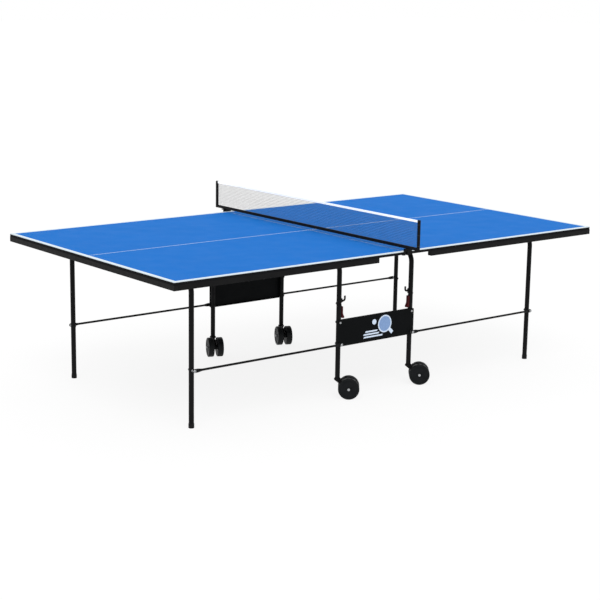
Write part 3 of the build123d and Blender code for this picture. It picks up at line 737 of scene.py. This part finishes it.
def board_screws(side, material):
    """Screws that hold the saddles, the rails, the catches and the net brackets to a board."""
    board_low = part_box(f"tabletop_{side}")[0].z
    x_sign = SIDES[side]
    shape = Shape()
    down = (0, 0, -1)
    saddle_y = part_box(f"pivot_saddles_{side}")[1].y - SADDLE_HALF_WIDTH
    inset_x, inset_y = SADDLE_SCREW_INSET
    for pivot in ("fold", "leg_fold"):
        x = joints[f"{pivot}_{side}"]["pos_m"][0]
        for y_sign in ENDS.values():
            for dx in (-1, 1):
                for dy in (-1, 1):
                    add_screw(shape, (x + dx * (SADDLE_HALF_FLANGE - inset_x),
                                      y_sign * saddle_y + dy * (SADDLE_HALF_WIDTH - inset_y),
                                      board_low - SADDLE_FLANGE), down, SADDLE_SCREW_RADIUS)
    rail_low, rail_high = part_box(f"side_rails_{side}")
    inner_x, outer_x = sorted((abs(rail_low.x), abs(rail_high.x)))
    margin, pitch = SIDE_RAIL_SCREWS
    for x in spaced(inner_x + margin, outer_x - margin, pitch):
        for y_sign in ENDS.values():
            add_screw(shape, (x_sign * x, y_sign * (rail_high.y - SIDE_RAIL_HALF), rail_low.z), down)
    for node, (margin, pitch) in ((f"end_rail_{side}", END_RAIL_SCREWS),
                                  (f"cross_stiffener_{side}", STIFFENER_SCREWS)):
        low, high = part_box(node)
        for y in spaced(low.y + margin, high.y - margin, pitch):
            add_screw(shape, ((low.x + high.x) / 2, y, low.z), down)
    low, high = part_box(f"catch_pins_{side}")
    inset_x, inset_y = CATCH_SCREW_INSET
    for x in (low.x + inset_x, high.x - inset_x):
        for y_sign in ENDS.values():
            add_screw(shape, (x, y_sign * (high.y - inset_y), board_low - CATCH_FLANGE), down)
    low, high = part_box(f"net_brackets_{side}")
    for y in STRAP_SCREW_PLACES:
        for y_sign in ENDS.values():
            add_screw(shape, ((low.x + high.x) / 2, y_sign * y, board_low - STRAP_THICKNESS), down)
    shape.piece(f"board_screws_{side}", material, f"half_{side}", "zinc_steel")


# ---------------------------------------------------------------- welds


WELD_RADIUS = 1.6 * MM
WELD_RIPPLE = 1.1 * MM
WELD_INSET = 2 * MM


def add_weld(shape, start, end, across=(0, 0, 1)):
    """A rippled weld bead between two points."""
    start, end = Vector(start), Vector(end)
    length = (end - start).length
    count = max(6, ceil(length / WELD_RIPPLE))
    centres, radii = [], []
    for step in range(count + 1):
        share = step / count
        wobble = noise.noise(start * 31 + Vector((share * 9, 0, 0)))
        centres.append(start.lerp(end, share))
        taper = min(1.0, 6 * share + 0.25, 6 * (1 - share) + 0.25)
        radii.append(WELD_RADIUS * taper * (1 + 0.12 * (-1) ** step + 0.15 * wobble))
    shape.tube(centres, radii, 8, across)


def rail_welds(side, material):
    """Beads where the side rails meet the end rail and the stiffener meets the side rails."""
    shape = Shape()
    rail_low, rail_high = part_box(f"side_rails_{side}")
    end_low, end_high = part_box(f"end_rail_{side}")
    bar_low, bar_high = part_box(f"cross_stiffener_{side}")
    joint_x = min((end_low.x, end_high.x), key=abs)
    low_z, high_z = rail_low.z, rail_high.z
    inset = WELD_INSET
    for y_sign in ENDS.values():
        outer, inner = y_sign * rail_high.y, y_sign * bar_high.y
        add_weld(shape, (joint_x, outer - y_sign * inset, low_z), (joint_x, inner + y_sign * inset, low_z))
        add_weld(shape, (joint_x, inner, low_z + inset), (joint_x, inner, high_z - inset), across=(1, 0, 0))
        for x in (bar_low.x, bar_high.x):
            add_weld(shape, (x, inner, low_z + inset), (x, inner, high_z - inset), across=(1, 0, 0))
        add_weld(shape, (bar_low.x + inset, inner, low_z), (bar_high.x - inset, inner, low_z))
    shape.piece(f"rail_welds_{side}", material, f"half_{side}", "frame_paint", 60)


# ---------------------------------------------------------------- wheels

WHEEL_WIDTH = 32 * MM
WHEEL_INNER_FACE = 10 * MM
WHEEL_EDGE = 5 * MM
HUB_RADIUS = 14 * MM
RIM_RADIUS = 42 * MM
FACE_RECESS = 2 * MM
AXLE_BORE = 4.05 * MM
WHEEL_STEP = 0.6 * MM
GROOVE_HALF_WIDTHS = (2 * MM, 1.6 * MM)
RIB_COUNT = 6
RIB_HALF_WIDTHS = (1.6 * MM, 1.1 * MM)
RIB_END_GAP = 0.4 * MM
RIB_DEPTHS = (3 * MM, 1.1 * MM)


def wheel_profile(radius):
    """Closed loop from the bore over the inner face and the tread to the outer face."""
    step, middle = WHEEL_STEP, WHEEL_WIDTH / 2
    groove_top, groove_floor = GROOVE_HALF_WIDTHS
    shoulder = radius - WHEEL_EDGE
    inner_face = [(AXLE_BORE, 0), (HUB_RADIUS, 0), (HUB_RADIUS + step, FACE_RECESS - step),
                  (RIM_RADIUS - step, FACE_RECESS - step), (RIM_RADIUS, 0), (shoulder, 0)]
    shoulder_in = [(r, a) for a, r in arc((WHEEL_EDGE, shoulder), WHEEL_EDGE, 180, 90)]
    groove = [(radius, middle - groove_top), (radius - step, middle - groove_floor),
              (radius - step, middle + groove_floor), (radius, middle + groove_top)]
    shoulder_out = [(r, a) for a, r in arc((WHEEL_WIDTH - WHEEL_EDGE, shoulder), WHEEL_EDGE, 90, 0)]
    recess = WHEEL_WIDTH - FACE_RECESS
    outer_face = [(RIM_RADIUS + step, WHEEL_WIDTH), (RIM_RADIUS, WHEEL_WIDTH - step),
                  (RIM_RADIUS - step, recess), (HUB_RADIUS + step, recess),
                  (HUB_RADIUS, WHEEL_WIDTH - step), (HUB_RADIUS - step, WHEEL_WIDTH),
                  (AXLE_BORE, WHEEL_WIDTH)]
    loop = inner_face + shoulder_in + groove + shoulder_out + outer_face
    return [(r, a, plain) for r, a in loop]


def wheels(material):
    """Detailed wheels with six low ribs, each turned about its own axle."""
    rib_end = RIM_RADIUS - RIB_END_GAP
    root, tip = RIB_HALF_WIDTHS
    rib = [(HUB_RADIUS, -root), (rib_end, -tip), (rib_end, tip), (HUB_RADIUS, root)]
    rib_floor, rib_top = (WHEEL_WIDTH - depth for depth in RIB_DEPTHS)
    for side, end in CORNERS:
        for letter, sign in (("a", -1), ("b", 1)):
            name = f"{side}_{end}_{letter}"
            joint = joints[f"wheel_{name}_roll"]
            hub, axis = Vector(joint["pos_m"]), Vector(joint["axis"]) * sign
            shape = Shape()
            shape.lathe(wheel_profile(hub.z), steps=72)
            for count in range(RIB_COUNT):
                shape.slab(rib, rib_floor, rib_top, Matrix.Rotation(count * 2 * pi / RIB_COUNT, 4, "Z"))
            made = shape.piece(f"caster_wheel_{name}", material, f"wheel_{name}", "wheel_plastic", 35,
                               facing(hub + axis * WHEEL_INNER_FACE, axis))
            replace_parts(made, f"wheel_{name}")


# ---------------------------------------------------------------- small plastic details

FOOT_RING_HEIGHTS = (7 * MM, 11 * MM, 15 * MM)
FOOT_RING_HALF = 1 * MM
FOOT_RING_SHOULDER = 0.9 * MM
FOOT_RING_RISE = 0.5 * MM
GRIP_DEPTH = 7.9 * MM
GRIP_RIB_INSET = 1 * MM
GRIP_RIB_SPAN = (20 * MM, 45 * MM, 5 * MM)
GRIP_RIB_RADII = (0.3 * MM, 0.9 * MM, 0.9 * MM, 0.3 * MM)


def foot_ribs(side, material):
    """Raised rings round the caps on the outer legs."""
    low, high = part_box(f"leg_feet_{side}")
    radius = (high.x - low.x) / 2
    inside = radius - FOOT_RING_HALF
    shape = Shape()
    for y_sign in ENDS.values():
        centre = Vector(((low.x + high.x) / 2, y_sign * (high.y - radius), 0))
        for z in FOOT_RING_HEIGHTS:
            shape.lathe([(inside, z - FOOT_RING_HALF, plain), (radius, z - FOOT_RING_SHOULDER, plain),
                         (radius + FOOT_RING_RISE, z, plain), (radius, z + FOOT_RING_SHOULDER, plain),
                         (inside, z + FOOT_RING_HALF, plain)], Matrix.Translation(centre), 48)
    shape.piece(f"foot_ribs_{side}", material, f"legs_{side}", "black_plastic", 40)


def grip_ribs(side, end, material):
    """Finger ribs round the inward face of a latch grip."""
    pivot_z = joints[f"latch_{side}_{end}_turn"]["pos_m"][2]
    low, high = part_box(f"latch_grip_{side}_{end}")
    leg_side = max(low.x, high.x, key=lambda x: x * SIDES[side])
    face = leg_side - SIDES[side] * GRIP_DEPTH
    middle_y = (low.y + high.y) / 2
    reach = (high.y - low.y) / 2 - GRIP_RIB_INSET
    shape = Shape()
    for down in spaced(*GRIP_RIB_SPAN):
        middle = Vector((face, middle_y, pivot_z - down))
        ends = [middle + Vector((0, share * reach, 0)) for share in (-1, -0.8, 0.8, 1)]
        shape.tube(ends, list(GRIP_RIB_RADII), 10)
    shape.piece(f"grip_ribs_{side}_{end}", material, f"latch_{side}_{end}", "red_plastic", 50)


# ---------------------------------------------------------------- printed mark


PRINT_THICKNESS = 0.15 * MM
PRINT_SUNK = 0.05 * MM
BLADE_CENTRE, BLADE_RADII = (56, 12), (46, 39)
HANDLE = [(78, -23), (91, -10), (115, -34), (102, -47)]
BALL_CENTRE, BALL_RADIUS = (-16, 30), 14
STRIPES = [(8, 80), (20, 104), (44, 126)]
STRIPE_TOP, STRIPE_PITCH, STRIPE_HEIGHT, STRIPE_SLANT = -12, 14, 8, 5


def printed_mark(pale, blue):
    """A plain bat and ball on the front panel with three stripes, drawn in mm from its middle."""
    low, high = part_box("side_panel_front")
    face_y = low.y
    centre_z = (low.z + high.z) / 2
    upright = Matrix(((1, 0, 0, 0), (0, 0, -1, face_y), (0, 1, 0, centre_z), (0, 0, 0, 1)))

    def disc(centre, radius):
        return arc(centre, radius, 0, 345, 23)

    def layer(outline, level, shape):
        shape.slab([(x * MM, y * MM) for x, y in outline], -PRINT_SUNK, level * PRINT_THICKNESS, upright)

    pale_shape, blue_shape = Shape(), Shape()
    rim_radius, face_radius = BLADE_RADII
    layer(disc(BLADE_CENTRE, rim_radius), 1, pale_shape)
    layer(disc(BLADE_CENTRE, face_radius), 2, blue_shape)
    layer(HANDLE, 1.5, pale_shape)
    layer(disc(BALL_CENTRE, BALL_RADIUS), 1, pale_shape)
    for index, (right, length) in enumerate(STRIPES):
        top = STRIPE_TOP - STRIPE_PITCH * index
        bottom = top - STRIPE_HEIGHT
        layer([(right - length, top), (right, top), (right - STRIPE_SLANT, bottom),
               (right - STRIPE_SLANT - length, bottom)], 1, pale_shape)
    pale_shape.piece("panel_print_pale", pale, "base", "panel_paint")
    blue_shape.piece("panel_print_blue", blue, "base", "panel_paint")


# ---------------------------------------------------------------- putting it together


WELD_THRESHOLD = 0.002 * MM
SOFT_EDGE_WIDTH = 0.6 * MM
SHARP_ANGLE = 50


def dress_cad_nodes(finishes):
    """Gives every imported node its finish, and soft edges to the folded and moulded ones."""
    soft_edges = ("tabletop", "side_rails", "end_rail", "cross_stiffener", "rail_caps", "net_brackets",
                  "latch_hook", "latch_grip", "side_panel", "net_bar", "pivot_saddles", "catch_pins")
    for name, node in frame["nodes"].items():
        slot_name = node.material_slots[0].material.name
        node.material_slots[0].material = finishes[slot_name]
        if name.startswith(soft_edges):
            weld = node.modifiers.new("weld", "WELD")
            weld.merge_threshold = WELD_THRESHOLD
            bevel = node.modifiers.new("soft_edges", "BEVEL")
            bevel.width = SOFT_EDGE_WIDTH
            bevel.segments = 2
            bevel.limit_method = "ANGLE"
            bevel.angle_limit = radians(SHARP_ANGLE)
            bevel.harden_normals = True


def add_floor():
    mesh = bpy.data.meshes.new("floor")
    reach = FLOOR_REACH
    mesh.from_pydata([(-reach, -reach, 0), (reach, -reach, 0), (reach, reach, 0), (-reach, reach, 0)], [],
                     [(0, 1, 2, 3)])
    mesh.materials.append(floor_finish())
    floor = bpy.data.objects.new("floor", mesh)
    bpy.context.scene.collection.objects.link(floor)


add_camera()
add_world(WORLD_STRENGTH)
add_sun("key", KEY_DIRECTION, KEY_SOFTNESS, KEY_STRENGTH)
add_floor()

finishes = {
    "board": board_finish(*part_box("tabletop_left")),
    "frame_paint": powder_coat("frame_powder_coat", (0.0040, 0.0040, 0.0043), (0.0060, 0.0060, 0.0064),
                               0.08),
    "panel_paint": powder_coat("panel_powder_coat", (0.0032, 0.0037, 0.0041), (0.0042, 0.0048, 0.0053),
                               0.03),
    "black_plastic": moulded_plastic("black_moulding", (0.004, 0.004, 0.0044), (0.007, 0.007, 0.0075)),
    "wheel_plastic": wheel_finish(),
    "red_plastic": moulded_plastic("red_moulding", (0.046, 0.0030, 0.0045), (0.058, 0.0038, 0.0056)),
    "zinc_steel": zinc_finish(),
    "net_mesh": thread_finish(),
    "net_tape": tape_finish(),
}
lines = line_finish()
pale_print = print_finish("pale_print", (0.62, 0.72, 0.86), (0.40, 0.50, 0.66))
blue_print = print_finish("blue_print", (0.20, 0.32, 0.56), (0.12, 0.21, 0.42))

dress_cad_nodes(finishes)
net_mesh(finishes["net_mesh"])
net_tape(finishes["net_tape"], lines, finishes["net_mesh"])
net_ties(finishes["net_mesh"])
bolts(finishes["zinc_steel"], finishes["frame_paint"], finishes["black_plastic"])
wheels(finishes["wheel_plastic"])
printed_mark(pale_print, blue_print)
for side in SIDES:
    playing_lines(side, lines)
    board_screws(side, finishes["zinc_steel"])
    rail_welds(side, finishes["frame_paint"])
    foot_ribs(side, finishes["black_plastic"])
for side, end in CORNERS:
    grip_ribs(side, end, finishes["red_plastic"])
